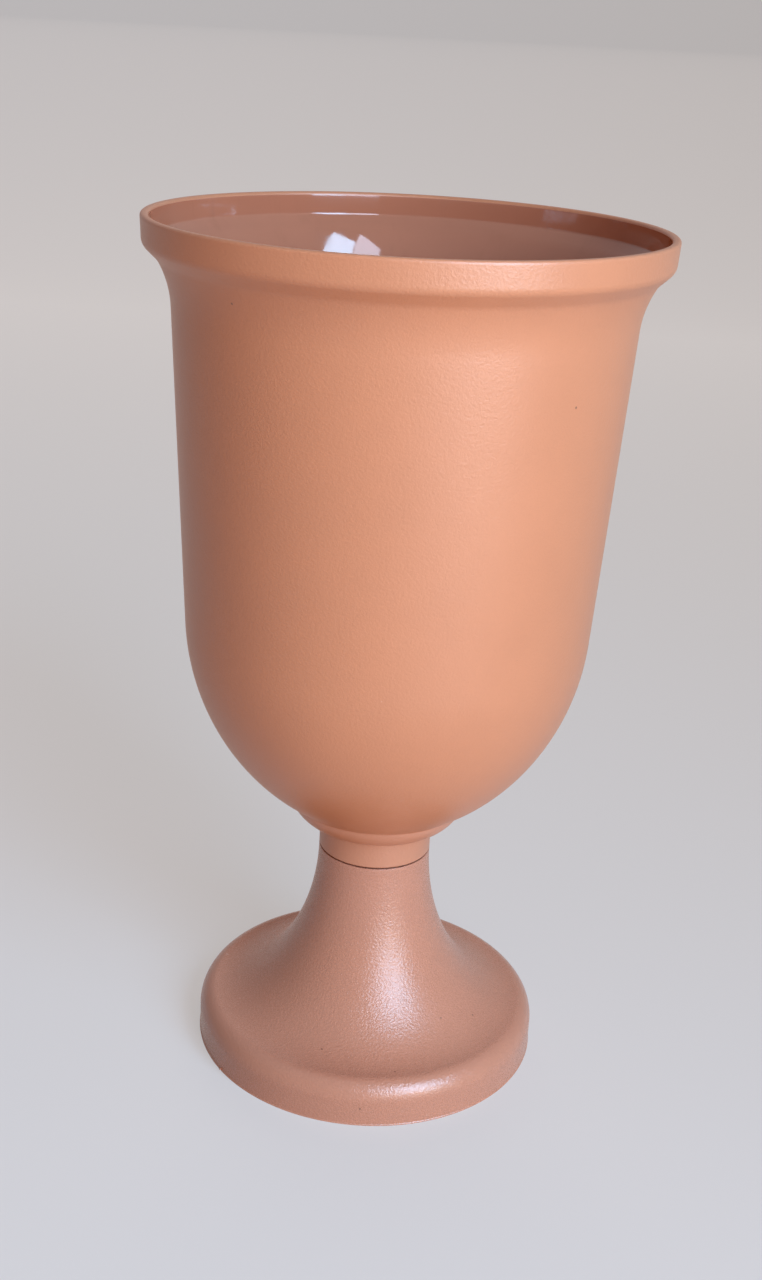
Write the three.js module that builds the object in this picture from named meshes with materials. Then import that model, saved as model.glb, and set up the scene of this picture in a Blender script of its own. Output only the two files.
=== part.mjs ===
// A goblet-shaped decorative vase in two even-walled plastic mouldings: a deep cup with a short
// sleeve under it, and a trumpet-shaped foot whose tenon the sleeve is pushed over.
// Millimetres, +Z up. The origin is the centre of the circle that the foot rests on.

import * as THREE from 'three';
import { mergeVertices } from 'three/addons/utils/BufferGeometryUtils.js';

// Both mouldings
const wall = 2.7;
const seamGap = 0.3;
const neckRadius = 20.1;

// Foot, from the resting rim up
const baseRadius = 62.4;
const skirtHeight = 9;
const skirtDraft = 0.15;
const edgeWidth = 6;
const edgeHeight = 7;
const crestCurl = 17;
const stemCurl = 34.2;
const footHeight = 76.65;

// Tenon on the foot and sleeve under the cup
const tenonClearance = 0.35;
const sleeveDepth = 10.55;
const tenonHeadroom = 0.7;
const leadIn = 1.0;

// Cup, from the neck up
const neckHeight = 10.65;
const collarRadius = 31.6;
const collarRound = 12.5;
const cupRadius = 69.5;
const cupRoundHeight = 75.9;
const cupRoundTop = 162.4;
const wallDraft = 0.053;

// Rim band at the mouth
const overallHeight = 298.5;
const rimRadius = 85;
const bandHeight = 7.5;
const bandRound = 4;
const undercutAngle = 46;
const flareRound = 33.5;
const flareTopAngle = 31;
const flareTopDrop = 13.5;
const lipRound = 1.0;

// How finely the round stretches are divided
const sectorsRound = 60;
const longCurveSteps = 12;
const shortCurveSteps = 4;

const degrees = Math.PI / 180;
const draftAngle = Math.atan(wallDraft);

// A point of a section: distance from the axis, and height
const at = (radius, height) => new THREE.Vector2(radius, height);

// The arc of a circle or an ellipse, between two angles counted from straight outwards
function arc(centre, width, height, fromAngle, toAngle, steps) {
  const clockwise = toAngle < fromAngle;
  const curve = new THREE.EllipseCurve(
    centre.x, centre.y, width, height, fromAngle, toAngle, clockwise);
  return curve.getPoints(steps);
}

// The outward-bulging arc of a known radius from a lower point to a higher one
function arcThrough(low, high, radius, steps) {
  const chord = high.clone().sub(low);
  const half = chord.length() / 2;
  const reach = Math.sqrt(radius * radius - half * half);
  const inwards = at(-chord.y, chord.x).normalize();
  const centre = low.clone().add(high).multiplyScalar(0.5).addScaledVector(inwards, reach);
  const fromAngle = low.clone().sub(centre).angle() - 2 * Math.PI;
  const toAngle = high.clone().sub(centre).angle() - 2 * Math.PI;
  return arc(centre, radius, radius, fromAngle, toAngle, steps);
}

// The inner face of an even wall: every corner of the outer face moved square to both its sides.
// The outer face runs upwards or inwards, with the material on its left.
function innerFace(outer, thickness) {
  const last = outer.length - 1;
  const squareTo = (from, to) => at(from.y - to.y, to.x - from.x).normalize();
  return outer.map((point, index) => {
    const before = squareTo(outer[Math.max(index - 1, 0)], outer[Math.max(index, 1)]);
    const after = squareTo(outer[Math.min(index, last - 1)], outer[Math.min(index + 1, last)]);
    const mitre = before.clone().add(after).divideScalar(1 + before.dot(after));
    return point.clone().addScaledVector(mitre, thickness);
  });
}

// Leaves out a point that repeats the one before it
function withoutRepeats(section) {
  const tiny = 1e-4;
  return section.filter((point, index) =>
    index === 0 || point.distanceTo(section[index - 1]) > tiny);
}

// Turns a section round the upright axis into one closed body
function moulding(name, section, colour, roughness) {
  const turned = new THREE.LatheGeometry(withoutRepeats(section), sectorsRound);
  turned.deleteAttribute('uv');
  turned.deleteAttribute('normal');
  turned.rotateX(Math.PI / 2);
  const geometry = mergeVertices(turned, 1e-4);
  geometry.computeVertexNormals();
  const material = new THREE.MeshStandardMaterial({ color: colour, roughness, metalness: 0 });
  const mesh = new THREE.Mesh(geometry, material);
  mesh.name = name;
  return mesh;
}

const tenonRadius = neckRadius - wall - tenonClearance;
const tenonTop = footHeight + seamGap + sleeveDepth - tenonHeadroom;

// Foot: skirt, rounded edge up to a level crest, and the flare that sweeps from it into the stem
function footOuterFace() {
  const edgeCentre = at(baseRadius - skirtDraft - edgeWidth, skirtHeight);
  const crest = at(edgeCentre.x, skirtHeight + edgeHeight);
  const edge = arc(edgeCentre, edgeWidth, edgeHeight, 0, 90 * degrees, shortCurveSteps + 2);
  const flare = new THREE.CubicBezierCurve(
    crest,
    at(crest.x - crestCurl, crest.y),
    at(neckRadius, footHeight - stemCurl),
    at(neckRadius, footHeight)).getPoints(longCurveSteps + 2);
  return [at(baseRadius, 0), ...edge, ...flare];
}

function footSection() {
  const outer = footOuterFace();
  const boreRadius = tenonRadius - wall;
  const crownUnder = tenonTop - wall;
  const shoulderUnder = footHeight - wall;
  const inner = innerFace(outer, wall).filter((point) => point.y < shoulderUnder - wall);
  inner[0] = at(inner[0].x, 0);
  return [
    at(0, crownUnder),
    at(boreRadius, crownUnder),
    at(boreRadius, shoulderUnder),
    ...inner.reverse(),
    ...outer,
    at(tenonRadius, footHeight),
    at(tenonRadius, tenonTop - leadIn),
    at(tenonRadius - leadIn, tenonTop),
    at(0, tenonTop),
  ];
}

// Cup: neck, round collar, a quarter ellipse that leans out with the wall, the straight wall,
// and the rim band with its hollow flare, slanted underside and rounded lower edge
function cupOuterFace() {
  const neckBottom = footHeight + seamGap;
  const collarBottom = at(neckRadius, neckBottom + neckHeight);

  const lean = Math.atan(wallDraft * cupRoundHeight / cupRadius);
  const leaningWidth = cupRadius / Math.cos(lean);
  const creaseAngle = Math.acos(collarRadius / leaningWidth) - lean;
  const onCup = (angle) => at(
    cupRadius * Math.cos(angle) - wallDraft * cupRoundHeight * Math.sin(angle),
    cupRoundTop - cupRoundHeight * Math.sin(angle));
  const cupRound = [];
  for (let step = 0; step <= longCurveSteps; step += 1) {
    cupRound.push(onCup(creaseAngle * (1 - step / longCurveSteps)));
  }
  const collar = arcThrough(collarBottom, cupRound[0], collarRound, shortCurveSteps + 1);

  // The flare is tangent to the wall, so its lower end is found from where its upper end lies
  const flareTop = overallHeight - flareTopDrop;
  const flareBottom = flareTop
    - flareRound * (Math.sin(flareTopAngle * degrees) - Math.sin(draftAngle));
  const wallTop = at(cupRadius + wallDraft * (flareBottom - cupRoundTop), flareBottom);
  const flareCentre = at(
    wallTop.x + flareRound * Math.cos(draftAngle),
    wallTop.y - flareRound * Math.sin(draftAngle));
  const flare = arc(flareCentre, flareRound, flareRound,
    Math.PI - draftAngle, Math.PI - flareTopAngle * degrees, shortCurveSteps);

  const bandBottom = at(rimRadius - wallDraft * bandHeight, overallHeight - bandHeight);
  const bandCentre = at(
    bandBottom.x - bandRound * Math.cos(draftAngle),
    bandBottom.y + bandRound * Math.sin(draftAngle));
  const bandEdge = arc(bandCentre, bandRound, bandRound,
    -undercutAngle * degrees, -draftAngle, shortCurveSteps);

  return [
    at(neckRadius, neckBottom),
    ...collar,
    ...cupRound,
    ...flare,
    ...bandEdge,
    at(rimRadius, overallHeight),
  ];
}

function cupSection() {
  const outer = withoutRepeats(cupOuterFace());
  const ceiling = footHeight + seamGap + sleeveDepth;
  const floor = ceiling + wall;
  const sleeveRadius = tenonRadius + tenonClearance;
  const inner = innerFace(outer, wall).filter((point) => point.y > floor);
  const innerTop = at(inner[inner.length - 1].x, overallHeight);
  inner.pop();
  outer.pop();

  const lip = [
    ...arc(at(rimRadius - lipRound, overallHeight - lipRound), lipRound, lipRound,
      0, 90 * degrees, shortCurveSteps - 1),
    ...arc(at(innerTop.x + lipRound, overallHeight - lipRound), lipRound, lipRound,
      90 * degrees, Math.PI, shortCurveSteps - 1),
  ];
  const floorEdge = at(neckRadius - wall / 2, floor);
  return [
    at(0, ceiling),
    at(sleeveRadius, ceiling),
    at(sleeveRadius, footHeight + seamGap + leadIn / 2),
    at(sleeveRadius + leadIn / 2, footHeight + seamGap),
    ...outer,
    ...lip,
    ...inner.reverse(),
    floorEdge,
    at(0, floor),
  ];
}

const vase = new THREE.Group();
vase.add(moulding('foot', footSection(), 0xc9967f, 0.5));
vase.add(moulding('bowl', cupSection(), 0xc08468, 0.45));

export default vase;
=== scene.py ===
"""A goblet-shaped vase in two plastic mouldings: a deep cup pushed onto a hollow trumpet foot.

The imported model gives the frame. Both mouldings are made again here with finer curves, softened
edges, the moulding marks, a grained satin outside and a smooth glossy inside.
"""

import math

import bmesh
import bpy
from mathutils import Matrix, Vector
from mathutils.geometry import interpolate_bezier


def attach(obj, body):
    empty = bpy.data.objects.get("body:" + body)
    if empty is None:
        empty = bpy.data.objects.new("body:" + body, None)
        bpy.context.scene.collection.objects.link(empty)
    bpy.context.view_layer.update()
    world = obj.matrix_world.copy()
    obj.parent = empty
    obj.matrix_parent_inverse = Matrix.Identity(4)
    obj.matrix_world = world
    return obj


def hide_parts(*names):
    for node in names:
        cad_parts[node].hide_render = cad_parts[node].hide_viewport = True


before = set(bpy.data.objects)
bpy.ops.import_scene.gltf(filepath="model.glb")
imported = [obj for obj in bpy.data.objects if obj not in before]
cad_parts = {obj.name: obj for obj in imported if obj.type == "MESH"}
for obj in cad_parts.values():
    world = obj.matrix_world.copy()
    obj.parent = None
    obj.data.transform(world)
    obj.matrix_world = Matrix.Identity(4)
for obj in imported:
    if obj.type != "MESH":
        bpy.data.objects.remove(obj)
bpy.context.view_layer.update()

# Sizes of the vase are in millimetres, and every drawn point is brought to metres by this
MM = 0.001
TURN_STEPS = 192

# Edges that turn by more degrees than this are shaded sharp
SHARP_TURN = 32

# A section is drawn this far past the level where its shell is cut off
OVERSHOOT = 1.0

# Both mouldings
WALL = 2.7
NECK_RADIUS = 20.1
WALL_DRAFT = 0.053

# Foot
BASE_RADIUS = 62.4
SKIRT_HEIGHT = 9.0
SKIRT_DRAFT = 0.15
EDGE_WIDTH = 6.0
EDGE_HEIGHT = 7.0
CREST_CURL = 17.0
STEM_CURL = 34.2
FOOT_HEIGHT = 76.65
TENON_RADIUS = 17.05
TENON_TOP = 86.8
LEAD_IN = 1.0

# The hidden shoulder round the tenon falls inwards, so that the parting line is dark
SHOULDER_FALL = 0.7

# The moulding step on the resting edge: how far it stands out, and where it starts and ends
STEP_OUT = 0.2
STEP_LOW = 0.3
STEP_HIGH = 0.55

# Cup. Its neck ends 0.25 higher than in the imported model, for the same dark parting line
NECK_BOTTOM = 77.2
NECK_TOP = 87.6
WEB_UNDER = 87.5
WEB_OVER = 90.2
COLLAR_ROUND = 12.5
CREASE_HEIGHT = 97.0
CUP_RADIUS = 69.5
CUP_ROUND_HEIGHT = 75.9
CUP_ROUND_TOP = 162.4
CREASE_TURN = 59.69
RIM_RADIUS = 85.0
RIM_TOP = 298.5
BAND_HEIGHT = 7.5
BAND_ROUND = 4.0
FLARE_ROUND = 33.5
FLARE_TURN = 31.0
FLARE_TOP_DROP = 13.5
UNDERCUT_TURN = 46.0
LIP_ROUND = 1.0

# How far from the axis the faces to be cut, taken out and given the inner finish are looked for
SLEEVE_SEARCH_RADIUS = 30
WEB_SEARCH_RADIUS = 24
WEB_FACE_RADIUS = 21

# Level faces above this are the web's, and those below it are the neck's lower end
WEB_FACE_LOW = 80

# The web has a ring this far inside its edge, which keeps it flat in shading
WEB_RING = 1.2


# Drawing a section and turning it


def start_line(section, radius, height):
    """Starts a section line at a distance from the axis and a height."""
    return bmesh.ops.create_vert(section, co=(radius * MM, 0, height * MM))["vert"][0]


def draw_to(section, tip, radius, height):
    """Carries the section line straight on to another point."""
    tip = bmesh.ops.extrude_vert_indiv(section, verts=[tip])["verts"][0]
    tip.co = (radius * MM, 0, height * MM)
    return tip


def end_of(swung):
    """The free end of a line that has been swung round a centre."""
    return [part for part in swung["geom_last"] if isinstance(part, bmesh.types.BMVert)][0]


def swing(section, tip, centre, turn, steps):
    """Carries the section line on round a centre. A positive turn goes from outwards to up."""
    swung = bmesh.ops.spin(
        section, geom=[tip], cent=(centre[0] * MM, 0, centre[1] * MM), axis=(0, -1, 0),
        angle=math.radians(turn), steps=steps)
    return end_of(swung)


def soften_corner(section, corner, reach, steps):
    """Rounds one corner of a section line."""
    bmesh.ops.bevel(
        section, geom=[corner], offset=reach * MM, offset_type="OFFSET", affect="VERTICES",
        segments=steps, profile=0.5, material=-1)


def turn_section(section):
    """Turns the section line once round the upright axis into a skin that faces outwards."""
    bmesh.ops.spin(
        section, geom=section.verts[:] + section.edges[:], cent=(0, 0, 0), axis=(0, 0, 1),
        angle=math.tau, steps=TURN_STEPS, use_merge=True)
    bmesh.ops.remove_doubles(section, verts=section.verts[:], dist=1e-6)
    bmesh.ops.recalc_face_normals(section, faces=section.faces[:])


def radius_of(point):
    """Distance of a point from the axis, in millimetres."""
    return math.hypot(point.x, point.y) / MM


def faces_outwards(face):
    """Whether a face looks away from the axis."""
    centre = face.calc_center_median()
    return face.normal.x * centre.x + face.normal.y * centre.y > 0


def give_wall(skin):
    """Gives the skin an even wall on its inner side."""
    bmesh.ops.solidify(skin, geom=skin.faces[:], thickness=WALL * MM)
    bmesh.ops.recalc_face_normals(skin, faces=skin.faces[:])


def slice_level(shell, parts, height, **clearing):
    """Adds a level loop through some parts of the shell, or clears what is on one side of it."""
    bmesh.ops.bisect_plane(
        shell, geom=parts, dist=1e-7, plane_co=(0, 0, height * MM), plane_no=(0, 0, 1),
        **clearing)


def all_parts(shell):
    """Every vertex, edge and face of the shell."""
    return shell.verts[:] + shell.edges[:] + shell.faces[:]


def open_edges(shell):
    """The edges with a face on one side only."""
    return [edge for edge in shell.edges if edge.is_boundary]


def cut_level(shell, height, keep_below):
    """Cuts the shell off level at a height and closes the cut with a flat ring."""
    slice_level(
        shell, all_parts(shell), height, clear_outer=keep_below, clear_inner=not keep_below)
    bmesh.ops.bridge_loops(shell, edges=open_edges(shell))
    bmesh.ops.recalc_face_normals(shell, faces=shell.faces[:])


def ring_edges(shell, radius, height):
    """The edges of the ring at a radius and height, found to within a tenth of a millimetre."""
    found = []
    for edge in shell.edges:
        near = [
            abs(radius_of(vert.co) - radius) < 0.1 and abs(vert.co.z / MM - height) < 0.1
            for vert in edge.verts]
        if all(near):
            found.append(edge)
    return found


def soften_ring(shell, radius, height, reach, steps):
    """Rounds the edge that runs round at a radius and height."""
    bmesh.ops.bevel(
        shell, geom=ring_edges(shell, radius, height), offset=reach * MM, offset_type="OFFSET",
        affect="EDGES", segments=steps, profile=0.5, material=-1, clamp_overlap=True)


def steady_flats(shell, heights):
    """Adds level loops beside roundings, so that the flat stretches next to them shade flat."""
    for height in heights:
        slice_level(shell, all_parts(shell), height)


def finish_piece(shell, name, body, nodes, finishes, is_inner):
    """Makes the finished mesh an object that stands for its CAD node and moves with its body."""
    bmesh.ops.recalc_face_normals(shell, faces=shell.faces[:])
    for face in shell.faces:
        face.smooth = True
        face.material_index = 1 if is_inner(face) else 0
    for edge in shell.edges:
        if len(edge.link_faces) == 2 and edge.calc_face_angle() > math.radians(SHARP_TURN):
            edge.smooth = False
    mesh = bpy.data.meshes.new(name)
    shell.to_mesh(mesh)
    shell.free()
    piece = bpy.data.objects.new(name, mesh)
    bpy.context.scene.collection.objects.link(piece)
    for finish in finishes:
        mesh.materials.append(finish)
    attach(piece, body)
    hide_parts(*nodes)


# Finishes

DARK_SPECK = (0.10, 0.035, 0.02)
LIGHT_FLECK = (0.85, 0.66, 0.55)
PLASTIC_IOR = 1.49


def link(tree, source, target):
    """Joins an output to an input."""
    tree.links.new(source, target)


def new_node(tree, kind, **settings):
    """Adds a node and sets its plain settings; inputs are given by name with in_ before it."""
    node = tree.nodes.new(kind)
    for key, value in settings.items():
        if key.startswith("in_"):
            node.inputs[key[3:]].default_value = value
        else:
            setattr(node, key, value)
    return node


def feed(tree, value, socket):
    """Gives a socket a pattern, or else a plain number or colour."""
    if isinstance(value, bpy.types.NodeSocket):
        link(tree, value, socket)
    elif isinstance(value, float):
        socket.default_value = value
    else:
        socket.default_value = (*value, 1.0)


def noise(tree, place, scale, detail, roughness):
    """A cloudy pattern whose patches are about one metre over the scale across."""
    node = new_node(
        tree, "ShaderNodeTexNoise", in_Scale=scale, in_Detail=detail, in_Roughness=roughness)
    link(tree, place, node.inputs["Vector"])
    return node.outputs["Fac"]


def spread(tree, value, low, high, to_low, to_high):
    """Stretches a pattern between two levels."""
    node = new_node(tree, "ShaderNodeMapRange", clamp=True)
    node.inputs["From Min"].default_value = low
    node.inputs["From Max"].default_value = high
    node.inputs["To Min"].default_value = to_low
    node.inputs["To Max"].default_value = to_high
    link(tree, value, node.inputs["Value"])
    return node.outputs["Result"]


def spread_noise(tree, value, to_low, to_high):
    """Stretches the middle of a noise pattern, where nearly all of it lies, between two levels."""
    return spread(tree, value, 0.3, 0.7, to_low, to_high)


def blend_colours(tree, factor, first, second, blend="MIX"):
    """Mixes two colours, each a socket or a plain colour, by a pattern."""
    node = new_node(tree, "ShaderNodeMix", data_type="RGBA", blend_type=blend)
    link(tree, factor, node.inputs["Factor"])
    feed(tree, first, node.inputs[6])
    feed(tree, second, node.inputs[7])
    return node.outputs[2]


def reckon(tree, operation, first, second):
    """Works out a sum, a product or the like of two patterns, or of a pattern and a number."""
    node = new_node(tree, "ShaderNodeMath", operation=operation)
    feed(tree, first, node.inputs[0])
    feed(tree, second, node.inputs[1])
    return node.outputs[0]


def times(tree, first, second):
    """Multiplies a pattern by another one or by a number."""
    return reckon(tree, "MULTIPLY", first, second)


def plus(tree, first, second):
    """Adds another pattern or a number to a pattern."""
    return reckon(tree, "ADD", first, second)


def scaled(tone, factor):
    """A lighter or darker version of a colour."""
    return [min(channel * factor, 1.0) for channel in tone]


def spot_at(tree, place, point, size):
    """One small soft-edged spot round a point of the surface, both in millimetres."""
    away = new_node(tree, "ShaderNodeVectorMath", operation="DISTANCE")
    link(tree, place, away.inputs[0])
    away.inputs[1].default_value = [axis * MM for axis in point]
    return spread(tree, away.outputs["Value"], size * 0.5 * MM, size * MM, 1.0, 0.0)


def scattered_specks(tree, place, spacing, size, share):
    """Sparse fine specks. The share is the part of the cells, a spacing wide, that hold one."""
    cells = new_node(tree, "ShaderNodeTexVoronoi", in_Scale=1.0 / (spacing * MM))
    link(tree, place, cells.inputs["Vector"])
    dot = spread(
        tree, cells.outputs["Distance"], 0.5 * size / spacing, size / spacing, 1.0, 0.0)
    split = new_node(tree, "ShaderNodeSeparateColor")
    link(tree, cells.outputs["Color"], split.inputs["Color"])
    picked = spread(tree, split.outputs["Red"], 1.0 - share, 1.0 - share + 0.01, 0.0, 1.0)
    return times(tree, dot, picked)


def marks(tree, place, specks, spots):
    """Scattered specks together with the spots whose places are known."""
    for point, size in spots:
        specks = plus(tree, specks, spot_at(tree, place, point, size))
    return specks


def coordinate(tree, place, axis):
    """Where the place lies along one axis, in metres."""
    split = new_node(tree, "ShaderNodeSeparateXYZ")
    link(tree, place, split.inputs["Vector"])
    return split.outputs[axis]


def above(tree, place, low, high):
    """From nothing below one height to everything above another, both in millimetres."""
    return spread(tree, coordinate(tree, place, "Z"), low * MM, high * MM, 0.0, 1.0)


def outside(tree, place, near, far):
    """From nothing inside one radius to everything outside another, both in millimetres."""
    level = new_node(tree, "ShaderNodeVectorMath", operation="MULTIPLY")
    link(tree, place, level.inputs[0])
    level.inputs[1].default_value = (1.0, 1.0, 0.0)
    across = new_node(tree, "ShaderNodeVectorMath", operation="LENGTH")
    link(tree, level.outputs[0], across.inputs[0])
    return spread(tree, across.outputs["Value"], near * MM, far * MM, 0.0, 1.0)


def new_finish(name):
    """A material with its surface shader, and where its patterns are placed."""
    finish = bpy.data.materials.new(name)
    finish.use_nodes = True
    tree = finish.node_tree
    shader = tree.nodes["Principled BSDF"]
    shader.inputs["Metallic"].default_value = 0.0
    shader.inputs["IOR"].default_value = PLASTIC_IOR
    place = new_node(tree, "ShaderNodeTexCoord").outputs["Object"]
    return finish, tree, shader, place


def add_relief(tree, shader, height, strength, distance):
    """Lets a pattern raise and sink the surface, by a distance in millimetres."""
    relief = new_node(tree, "ShaderNodeBump", in_Strength=strength, in_Distance=distance * MM)
    link(tree, height, relief.inputs["Height"])
    link(tree, relief.outputs["Normal"], shader.inputs["Normal"])


def grained_satin(
        name, tone, gloss, roughness, grain_scale, grain_depth, dark_spots, light_spots=(),
        painted_light_and_shade_below=(), rubbed_edge=None):
    """The spark-eroded outside of a moulding: fine even grain, satin, with slight clouding.

    The parts below some heights can have painted light or painted shade: their colour is multiplied
    by a factor there. An edge outside a radius and above a height can be rubbed smoother.
    """
    finish, tree, shader, place = new_finish(name)
    shader.inputs["Specular IOR Level"].default_value = gloss
    clouds = noise(tree, place, scale=24.0, detail=3.0, roughness=0.6)
    grain = noise(tree, place, scale=grain_scale, detail=2.0, roughness=0.6)
    pits = noise(tree, place, scale=grain_scale * 0.55, detail=1.0, roughness=0.5)

    colour = blend_colours(
        tree, spread_noise(tree, clouds, 0.0, 1.0), scaled(tone, 0.97), scaled(tone, 1.03))
    in_grain = spread(tree, grain, 0.62, 0.30, 0.0, 0.15)
    colour = blend_colours(tree, in_grain, colour, scaled(tone, 0.86))
    # Painted light and shade: below each height the colour is multiplied by a factor that paints it
    # lighter or darker
    for level, painted_factor in painted_light_and_shade_below:
        unpainted_above = above(tree, place, level - 0.4, level + 0.4)
        painted_below = spread(tree, unpainted_above, 0.0, 1.0, 1.0, 0.0)
        colour = blend_colours(tree, painted_below, colour, painted_factor, "MULTIPLY")
    specks = scattered_specks(tree, place, spacing=14.0, size=0.30, share=0.10)
    specks = marks(tree, place, specks, dark_spots)
    colour = blend_colours(tree, spread(tree, specks, 0.0, 1.0, 0.0, 0.75), colour, DARK_SPECK)
    flecks = scattered_specks(tree, place, spacing=19.0, size=0.28, share=0.07)
    flecks = marks(tree, place, flecks, light_spots)
    colour = blend_colours(tree, spread(tree, flecks, 0.0, 1.0, 0.0, 0.5), colour, LIGHT_FLECK)
    link(tree, colour, shader.inputs["Base Color"])

    dullness = plus(
        tree, spread_noise(tree, clouds, roughness - 0.015, roughness + 0.015),
        spread_noise(tree, grain, -0.03, 0.03))
    height = plus(tree, times(tree, grain, 0.6), times(tree, pits, 0.9))
    if rubbed_edge:
        radius, level = rubbed_edge
        rubbed = times(
            tree, outside(tree, place, radius - 1.0, radius + 1.0),
            above(tree, place, level - 1.0, level + 1.0))
        dullness = plus(tree, dullness, times(tree, rubbed, -0.06))
        height = times(tree, height, spread(tree, rubbed, 0.0, 1.0, 1.0, 0.85))
    link(tree, dullness, shader.inputs["Roughness"])
    add_relief(tree, shader, height, strength=0.6, distance=grain_depth)
    return finish


def polished_inside(name, tone, roughness):
    """The smooth inner face of a moulding: glossy, with faint wipe marks and flow clouding."""
    finish, tree, shader, place = new_finish(name)
    shader.inputs["Specular IOR Level"].default_value = 0.9
    clouds = noise(tree, place, scale=16.0, detail=3.0, roughness=0.6)
    colour = blend_colours(
        tree, spread_noise(tree, clouds, 0.0, 1.0), tone, scaled(tone, 0.90))
    upright = new_node(tree, "ShaderNodeMapping")
    upright.inputs["Scale"].default_value = (1.0, 1.0, 0.18)
    link(tree, place, upright.inputs["Vector"])
    streaks = noise(tree, upright.outputs["Vector"], scale=95.0, detail=3.0, roughness=0.65)
    wiped = spread(tree, streaks, 0.56, 0.72, 0.0, 1.0)
    colour = blend_colours(tree, times(tree, wiped, 0.35), colour, scaled(tone, 0.80))
    specks = scattered_specks(tree, place, spacing=11.0, size=0.28, share=0.08)
    colour = blend_colours(tree, times(tree, specks, 0.6), colour, DARK_SPECK)
    link(tree, colour, shader.inputs["Base Color"])
    link(tree, plus(tree, times(tree, wiped, 0.10), roughness), shader.inputs["Roughness"])
    waves = noise(tree, place, scale=30.0, detail=1.0, roughness=0.4)
    add_relief(tree, shader, waves, strength=0.25, distance=0.2)
    return finish


# Foot


def foot_section():
    """The outer line of the foot, from the resting rim over the shoulder to the tenon's crown."""
    section = bmesh.new()
    tip = start_line(section, BASE_RADIUS, -OVERSHOOT)
    tip = draw_to(section, tip, BASE_RADIUS, STEP_LOW)
    tip = draw_to(section, tip, BASE_RADIUS - STEP_OUT, STEP_HIGH)
    crest_radius = BASE_RADIUS - SKIRT_DRAFT - EDGE_WIDTH
    crest_height = SKIRT_HEIGHT + EDGE_HEIGHT
    tip = draw_to(section, tip, crest_radius + EDGE_WIDTH, SKIRT_HEIGHT)
    tip = swing(section, tip, (crest_radius, SKIRT_HEIGHT), 90, 16)
    edge_round = [vert for vert in section.verts if vert.co.z > (SKIRT_HEIGHT + 0.01) * MM]
    bmesh.ops.scale(
        section, vec=(1, 1, EDGE_HEIGHT / EDGE_WIDTH), verts=edge_round,
        space=Matrix.Translation((0, 0, -SKIRT_HEIGHT * MM)))

    flare = interpolate_bezier(
        (crest_radius, 0, crest_height), (crest_radius - CREST_CURL, 0, crest_height),
        (NECK_RADIUS, 0, FOOT_HEIGHT - STEM_CURL), (NECK_RADIUS, 0, FOOT_HEIGHT), 64)
    for point in flare[1:]:
        tip = draw_to(section, tip, point[0], point[2])
    shoulder = tip
    tip = draw_to(section, tip, TENON_RADIUS, FOOT_HEIGHT - SHOULDER_FALL)
    tip = draw_to(section, tip, TENON_RADIUS, TENON_TOP - LEAD_IN)
    tip = draw_to(section, tip, TENON_RADIUS - LEAD_IN, TENON_TOP)
    draw_to(section, tip, 0, TENON_TOP)
    soften_corner(section, shoulder, 0.3, 4)
    return section


def add_burr(shell, turn, radius, height, half_sizes):
    """A small nib of flash left on an edge. Half sizes run outwards, along the edge and up."""
    placed = Matrix.Rotation(math.radians(turn), 4, "Z")
    placed = placed @ Matrix.Translation((radius * MM, 0, height * MM))
    placed = placed @ Matrix.Diagonal([half * MM for half in half_sizes]).to_4x4()
    bmesh.ops.create_icosphere(shell, subdivisions=3, radius=1.0, matrix=placed)


def is_under_foot(face):
    """Whether a face is on the inner side of the foot."""
    centre = face.calc_center_median()
    if centre.z < 0.001 * MM:
        return False
    return not faces_outwards(face) and face.normal.z < 0.5 and radius_of(centre) > 0.01


def make_foot(finishes):
    """The foot: a hollow trumpet with a closed tenon on top."""
    shell = foot_section()
    turn_section(shell)
    give_wall(shell)
    cut_level(shell, 0, keep_below=False)
    steady_flats(shell, (1.0, SKIRT_HEIGHT - 0.4, FOOT_HEIGHT + 0.5, TENON_TOP - 1.4))
    add_burr(shell, -144.4, BASE_RADIUS, 0.5, (0.5, 0.45, 0.35))
    add_burr(shell, -56.1, NECK_RADIUS - 0.05, FOOT_HEIGHT - 0.05, (0.3, 0.45, 0.3))
    finish_piece(
        shell, "foot_moulding", "foot", ["foot"], finishes, is_under_foot)


# Cup


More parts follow.
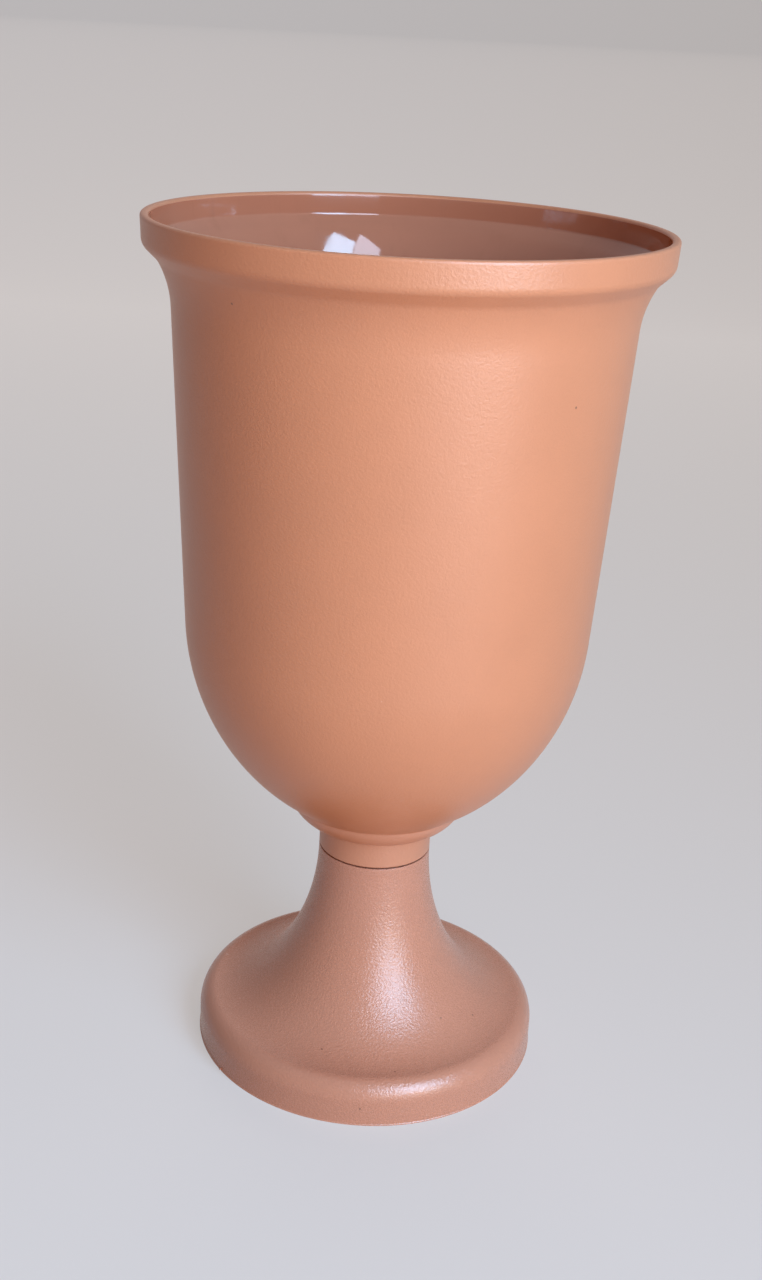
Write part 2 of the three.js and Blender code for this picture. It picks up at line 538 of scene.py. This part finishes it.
def cup_section():
    """The outer line of the cup, drawn from the crease over the collar up, and down to the neck."""
    section = bmesh.new()
    crease = start_line(
        section, CUP_ROUND_HEIGHT * math.cos(math.radians(CREASE_TURN)),
        CUP_ROUND_TOP - CUP_ROUND_HEIGHT * math.sin(math.radians(CREASE_TURN)))
    tip = swing(section, crease, (0, CUP_ROUND_TOP), CREASE_TURN, 48)
    to_round_top = Matrix.Translation((0, 0, -CUP_ROUND_TOP * MM))
    bmesh.ops.scale(
        section, vec=(CUP_RADIUS / CUP_ROUND_HEIGHT, 1, 1), verts=section.verts[:],
        space=to_round_top)
    lean = Matrix.Identity(4)
    lean[0][2] = WALL_DRAFT
    bmesh.ops.transform(section, matrix=lean, verts=section.verts[:], space=to_round_top)

    draft_turn = math.degrees(math.atan(WALL_DRAFT))
    draft_cos = math.cos(math.radians(draft_turn))
    draft_sin = math.sin(math.radians(draft_turn))
    flare_rise = FLARE_ROUND * (math.sin(math.radians(FLARE_TURN)) - draft_sin)
    flare_bottom = RIM_TOP - FLARE_TOP_DROP - flare_rise
    wall_top = CUP_RADIUS + WALL_DRAFT * (flare_bottom - CUP_ROUND_TOP)
    tip = draw_to(section, tip, wall_top, flare_bottom)
    flare_centre = (wall_top + FLARE_ROUND * draft_cos, flare_bottom - FLARE_ROUND * draft_sin)
    flare_end = swing(section, tip, flare_centre, draft_turn - FLARE_TURN, 14)
    band_centre = (
        RIM_RADIUS - WALL_DRAFT * BAND_HEIGHT - BAND_ROUND * draft_cos,
        RIM_TOP - BAND_HEIGHT + BAND_ROUND * draft_sin)
    tip = draw_to(
        section, flare_end,
        band_centre[0] + BAND_ROUND * math.cos(math.radians(UNDERCUT_TURN)),
        band_centre[1] - BAND_ROUND * math.sin(math.radians(UNDERCUT_TURN)))
    tip = swing(section, tip, band_centre, UNDERCUT_TURN - draft_turn, 12)
    draw_to(section, tip, RIM_RADIUS + WALL_DRAFT * OVERSHOOT, RIM_TOP + OVERSHOOT)

    collar_low = Vector((NECK_RADIUS, NECK_TOP))
    collar_high = Vector((crease.co.x / MM, crease.co.z / MM))
    chord = collar_high - collar_low
    reach = math.sqrt(COLLAR_ROUND ** 2 - (chord.length / 2) ** 2)
    inwards = Vector((-chord.y, chord.x)).normalized()
    collar_centre = (collar_low + collar_high) / 2 + inwards * reach
    collar_turn = math.degrees(2 * math.asin(chord.length / 2 / COLLAR_ROUND))
    neck_corner = swing(section, crease, collar_centre, -collar_turn, 20)
    draw_to(section, neck_corner, NECK_RADIUS, NECK_BOTTOM - OVERSHOOT)
    soften_corner(section, neck_corner, 0.7, 4)
    soften_corner(section, crease, 0.9, 5)
    soften_corner(section, flare_end, 1.0, 3)
    return section


def inner_faces_within(shell, radius):
    """The faces of the shell that look towards the axis and lie nearer to it than a radius."""
    return [
        face for face in shell.faces
        if not faces_outwards(face) and radius_of(face.calc_center_median()) < radius]


def many_sided(shell):
    """The faces that close a whole ring, such as a web before it is divided."""
    return [face for face in shell.faces if len(face.verts) > 8]


def add_web(shell):
    """Closes the sleeve under the cup with the flat web that is the cup's floor."""
    for height in (WEB_UNDER, WEB_OVER):
        bore = inner_faces_within(shell, SLEEVE_SEARCH_RADIUS)
        parts = set(bore)
        for face in bore:
            parts.update(face.verts)
            parts.update(face.edges)
        slice_level(shell, list(parts), height)
    between = [
        face for face in inner_faces_within(shell, WEB_SEARCH_RADIUS)
        if WEB_UNDER < face.calc_center_median().z / MM < WEB_OVER]
    bmesh.ops.delete(shell, geom=between, context="FACES")
    bmesh.ops.holes_fill(shell, edges=open_edges(shell))
    for disc in many_sided(shell):
        bmesh.ops.inset_region(
            shell, faces=[disc], thickness=WEB_RING * MM, use_even_offset=True)
    for disc in many_sided(shell):
        bmesh.ops.poke(shell, faces=[disc])


def is_in_cup(face):
    """Whether a face is on the inner side of the cup or of the sleeve."""
    centre = face.calc_center_median()
    is_level = abs(face.normal.z) > 0.9
    on_web = is_level and radius_of(centre) < WEB_FACE_RADIUS and centre.z / MM > WEB_FACE_LOW
    under_lip = centre.z < (RIM_TOP - LIP_ROUND - 0.1) * MM
    return on_web or under_lip and not faces_outwards(face)


def make_cup(finishes):
    """The cup: its shell, its lip, and the web and sleeve under it."""
    shell = cup_section()
    turn_section(shell)
    give_wall(shell)
    cut_level(shell, RIM_TOP, keep_below=True)
    cut_level(shell, NECK_BOTTOM, keep_below=False)
    add_web(shell)
    soften_ring(shell, RIM_RADIUS, RIM_TOP, LIP_ROUND, 6)
    soften_ring(shell, RIM_RADIUS - WALL, RIM_TOP, LIP_ROUND, 6)
    soften_ring(shell, NECK_RADIUS, NECK_BOTTOM, 0.25, 4)
    soften_ring(shell, NECK_RADIUS - WALL, NECK_BOTTOM, 0.5, 1)
    steady_flats(
        shell, (NECK_BOTTOM + 0.6, NECK_TOP - 1.1, RIM_TOP - BAND_HEIGHT + 0.5, RIM_TOP - 1.3))
    finish_piece(shell, "bowl_moulding", "bowl", ["bowl"], finishes, is_in_cup)


# Stage, light and camera, in metres

STAGE_FRONT = -4.0
STAGE_HALF_WIDTH = 4.0
CURVE_START = 1.5
CURVE_RADIUS = 0.8
BACKDROP_TOP = 3.5
FLOOR_TONE = (0.34, 0.35, 0.36)
FLOOR_TONE_BY_LAMPS = (0.07, 0.07, 0.07)
FLOOR_DARKENS_FROM = -0.3
FLOOR_DARKENS_TO = -0.9
FLOOR_GLOW = (0.97, 0.98, 1.0)
FLOOR_BOUNCE = (0.42, 0.24, 0.13)
ROOM_SEEN = (0.52, 0.50, 0.49)
WINDOW_X = 0.6
TO_LEFT = 180


def looked_at(tree):
    """Whether a ray comes from the camera, a glossy surface or a clear one."""
    path = new_node(tree, "ShaderNodeLightPath")
    camera_or_gloss = reckon(
        tree, "MAXIMUM", path.outputs["Is Camera Ray"], path.outputs["Is Glossy Ray"])
    return reckon(tree, "MAXIMUM", camera_or_gloss, path.outputs["Is Transmission Ray"])


def choose_shader(tree, unseen, seen, output):
    """Shows one shader to the rays that look at it, and lets the other one light the object."""
    choose = new_node(tree, "ShaderNodeMixShader")
    link(tree, looked_at(tree), choose.inputs[0])
    link(tree, unseen.outputs[0], choose.inputs[1])
    link(tree, seen.outputs[0], choose.inputs[2])
    link(tree, choose.outputs[0], tree.nodes[output].inputs["Surface"])


def sweep_mesh():
    """A level floor that curves up into an upright backdrop."""
    sweep = bmesh.new()
    tip = bmesh.ops.create_vert(sweep, co=(0, STAGE_FRONT, 0))["vert"][0]
    tip = bmesh.ops.extrude_vert_indiv(sweep, verts=[tip])["verts"][0]
    tip.co = (0, CURVE_START, 0)
    tip = end_of(bmesh.ops.spin(
        sweep, geom=[tip], cent=(0, CURVE_START, CURVE_RADIUS), axis=(1, 0, 0),
        angle=math.radians(90), steps=24))
    tip = bmesh.ops.extrude_vert_indiv(sweep, verts=[tip])["verts"][0]
    tip.co = (0, CURVE_START + CURVE_RADIUS, BACKDROP_TOP)
    bmesh.ops.translate(sweep, vec=(-STAGE_HALF_WIDTH, 0, 0), verts=sweep.verts[:])
    wide = bmesh.ops.extrude_edge_only(sweep, edges=sweep.edges[:])["geom"]
    moved = [part for part in wide if isinstance(part, bmesh.types.BMVert)]
    bmesh.ops.translate(sweep, vec=(2 * STAGE_HALF_WIDTH, 0, 0), verts=moved)
    bmesh.ops.recalc_face_normals(sweep, faces=sweep.faces[:])
    for face in sweep.faces:
        face.smooth = True
    mesh = bpy.data.meshes.new("pale_stage")
    sweep.to_mesh(mesh)
    sweep.free()
    return mesh


def make_stage():
    """The pale stage. Beside the lamps its tone is darker, so that it doesn't clip to white."""
    mesh = sweep_mesh()
    stage = bpy.data.objects.new("pale_stage", mesh)
    bpy.context.scene.collection.objects.link(stage)

    cover = bpy.data.materials.new("pale_stage")
    cover.use_nodes = True
    tree = cover.node_tree
    seen = tree.nodes["Principled BSDF"]
    place = new_node(tree, "ShaderNodeTexCoord").outputs["Object"]
    depth = coordinate(tree, place, "Y")
    by_lamps = spread(tree, depth, FLOOR_DARKENS_FROM, FLOOR_DARKENS_TO, 0.0, 1.0)
    tone = blend_colours(tree, by_lamps, FLOOR_TONE, FLOOR_TONE_BY_LAMPS)
    link(tree, tone, seen.inputs["Base Color"])
    seen.inputs["Roughness"].default_value = 0.7
    seen.inputs["Emission Color"].default_value = (*FLOOR_GLOW, 1.0)
    seen.inputs["Emission Strength"].default_value = 0.40
    bounced = new_node(tree, "ShaderNodeBsdfDiffuse", in_Color=(*FLOOR_BOUNCE, 1.0))
    choose_shader(tree, bounced, seen, "Material Output")
    mesh.materials.append(cover)


def set_room_light(colour):
    """Even warm light from all round. Looked at, the room is as pale as the backdrop."""
    world = bpy.data.worlds.new("room")
    world.use_nodes = True
    tree = world.node_tree
    lighting = tree.nodes["Background"]
    lighting.inputs["Color"].default_value = (*colour, 1.0)
    seen = new_node(tree, "ShaderNodeBackground", in_Color=(*ROOM_SEEN, 1.0))
    choose_shader(tree, lighting, seen, "World Output")
    bpy.context.scene.world = world


def soft_pane(name, middle, facing, width, height, brightness, colour):
    """A soft upright lamp. Facing is the heading in degrees that it shines along, from +X."""
    pane = bpy.data.lights.new(name, "AREA")
    pane.shape = "RECTANGLE"
    pane.size = width
    pane.size_y = height
    pane.energy = brightness * math.pi * pane.size * pane.size_y
    pane.color = colour
    holder = bpy.data.objects.new(name, pane)
    upright = Matrix(((0, 0, -1), (-1, 0, 0), (0, 1, 0))).to_4x4()
    turned = Matrix.Rotation(math.radians(facing), 4, "Z") @ upright
    holder.matrix_world = Matrix.Translation(middle) @ turned
    holder.visible_camera = False
    bpy.context.scene.collection.objects.link(holder)
    return holder


def set_camera():
    """The camera, solved from the mouth, lip, seam and resting circles of the photograph."""
    pan, tilt, roll = -0.01776, 0.3577, 0.0515
    forward = Vector((
        math.sin(pan) * math.cos(tilt), math.cos(pan) * math.cos(tilt), -math.sin(tilt)))
    level_right = Vector((math.cos(pan), -math.sin(pan), 0))
    level_up = level_right.cross(forward)
    right = math.cos(roll) * level_right + math.sin(roll) * level_up
    up = math.cos(roll) * level_up - math.sin(roll) * level_right
    placed = Matrix((right, up, -forward)).transposed().to_4x4()
    placed.translation = Vector((0, -519.4, 357.9)) * MM
    lens = bpy.data.cameras.new("camera")
    lens.sensor_fit = "AUTO"
    lens.sensor_width = 36.0
    lens.lens = 45.06
    lens.shift_x = 0.01588
    lens.shift_y = -0.01759
    lens.clip_start = 0.01
    lens.clip_end = 30.0
    camera = bpy.data.objects.new("camera", lens)
    camera.matrix_world = placed
    bpy.context.scene.collection.objects.link(camera)
    bpy.context.scene.camera = camera


set_camera()
make_stage()
set_room_light((0.175, 0.09, 0.055))

# The window, in two panes, and the warm glow under it
soft_pane("near_pane", (WINDOW_X, -0.725, 0.70), TO_LEFT, 0.45, 0.92, 12.2, (0.48, 0.72, 1.0))
soft_pane("far_pane", (WINDOW_X, -1.52, 0.90), TO_LEFT, 1.10, 1.32, 6.8, (0.66, 0.76, 0.98))
soft_pane("under_window", (WINDOW_X, -1.40, 0.12), TO_LEFT, 1.80, 0.22, 4.2, (1.0, 0.80, 0.66))

# Warm light from the room and from behind, which the glossy inside doesn't show as lamps
room_side = soft_pane("room_side", (0.45, -1.70, 0.50), 105, 1.20, 0.80, 1.8, (1.0, 0.62, 0.38))
back_fill = soft_pane("back_fill", (-0.20, 2.15, 1.35), -90, 2.60, 2.00, 1.5, (1.0, 0.80, 0.68))
room_side.visible_glossy = False
back_fill.visible_glossy = False
bpy.context.scene.view_settings.view_transform = "Standard"

# Colours, and the spots that the photograph shows: their places, and how wide each is
cup_tone = (0.67, 0.29, 0.15)
# The inside tone is darker than the outside: partly the deeper look of the polished face, partly
# painted shade inside the cup
cup_inside_tone_and_shade = (0.54, 0.215, 0.12)
foot_tone = (0.585, 0.28, 0.18)
cup_dark_spots = [((52.0, -53.1, 253.4), 0.5), ((-49.7, -59.1, 279.4), 0.45)]
foot_dark_spots = [
    ((0.3, -62.3, 6.8), 0.45), ((-14.2, -45.4, 18.2), 0.4), ((11.7, -52.9, 16.1), 0.4),
    ((39.4, -21.3, 19.7), 0.45), ((27.5, -29.5, 23.2), 0.4)]
foot_light_spots = [((-54.3, 14.7, 16.0), 0.5), ((23.7, -57.7, 2.3), 0.4)]
# Painted light and shade on the cup: the collar bead below the crease is painted lighter and bluer,
# for light thrown up onto it from below, and the neck below its top is painted darker again, for
# the shade under the bead
cup_outside = grained_satin(
    "cup_grained_satin", cup_tone, gloss=0.95, roughness=0.37, grain_scale=1900.0,
    grain_depth=0.15, dark_spots=cup_dark_spots,
    painted_light_and_shade_below=[(CREASE_HEIGHT, (1.03, 1.13, 1.33)), (NECK_TOP, (0.90, 0.885, 0.85))])
cup_inside = polished_inside("cup_polished_inside", cup_inside_tone_and_shade, roughness=0.06)
foot_outside = grained_satin(
    "foot_grained_satin", foot_tone, gloss=0.95, roughness=0.27, grain_scale=2200.0,
    grain_depth=0.28, dark_spots=foot_dark_spots, light_spots=foot_light_spots,
    rubbed_edge=(58.0, 11.5))
foot_inside = polished_inside("foot_smooth_underside", foot_tone, roughness=0.3)

make_foot([foot_outside, foot_inside])
make_cup([cup_outside, cup_inside])

bpy.context.view_layer.update()
